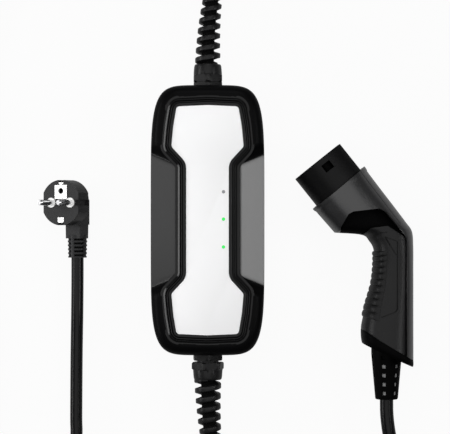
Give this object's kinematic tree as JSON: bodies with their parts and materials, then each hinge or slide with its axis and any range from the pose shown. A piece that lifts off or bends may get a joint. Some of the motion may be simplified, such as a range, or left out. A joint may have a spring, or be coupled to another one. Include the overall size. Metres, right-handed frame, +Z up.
{
  "type": "portable ev charger",
  "caption": "Portable car charging lead: black control box with a white waisted panel, spiral glands, an angled mains plug, a coiled vehicle lead and a hand-held connector.",
  "frame": {"origin": "middle of the control box's flat back, on the table", "axes": "+X across the box towards the vehicle connector, +Y along the box towards the mains gland, +Z up out of the white panel"},
  "size_m": [0.3916, 0.692, 0.0592],
  "materials": {
    "case_black": "satin",
    "panel_white": "gloss",
    "seal_rubber": "matte",
    "screw_steel": "brushed",
    "lens_green": "gloss",
    "lens_grey": "gloss",
    "board_green": "satin",
    "chip_cream": "gloss",
    "part_black": "satin",
    "winding_amber": "satin",
    "capacitor_blue": "gloss",
    "terminal_green": "satin",
    "gland_black": "satin",
    "lead_black": "satin",
    "tie_black": "matte",
    "plug_grey": "satin",
    "carrier_white": "satin",
    "pin_nickel": "polished",
    "gun_grey": "textured",
    "gun_black": "satin",
    "pad_rubber": "matte",
    "contact_silver": "plated"
  },
  "bodies": {
    "root": {"rear_case": "case_black", "front_case": "case_black", "case_seal": "seal_rubber", "case_screws": "screw_steel", "panel_frame": "case_black", "front_panel": "panel_white", "led_power": "lens_green", "led_charge": "lens_green", "led_fault": "lens_grey", "indicator_board": "board_green", "indicator_chips": "chip_cream", "circuit_board": "board_green", "board_screws": "screw_steel", "power_relays": "part_black", "leakage_sensor": "part_black", "supply_transformer": "winding_amber", "supply_capacitors": "capacitor_blue", "mains_terminals": "terminal_green", "vehicle_terminals": "terminal_green", "controller_chip": "part_black", "mains_gland_body": "gland_black", "mains_gland_locknut": "gland_black", "mains_gland_seal": "seal_rubber", "mains_gland_nut": "gland_black", "vehicle_gland_body": "gland_black", "vehicle_gland_locknut": "gland_black", "vehicle_gland_seal": "seal_rubber", "vehicle_gland_nut": "gland_black", "mains_lead": "lead_black", "plug_body": "plug_grey", "pin_carrier": "carrier_white", "line_pin": "pin_nickel", "neutral_pin": "pin_nickel", "earth_contact": "pin_nickel", "vehicle_lead_in": "lead_black", "vehicle_coil": "lead_black", "coil_tie": "tie_black", "vehicle_lead_out": "lead_black", "housing": "gun_grey", "grip": "gun_grey", "grip_inlay": "pad_rubber", "end_cap": "gun_black", "cable_boot": "gun_black", "cable_clamp": "gun_black", "nose": "gun_black", "contact_carrier": "gun_black", "power_contacts": "contact_silver", "pilot_contacts": "contact_silver"}
  },
  "joints": []
}
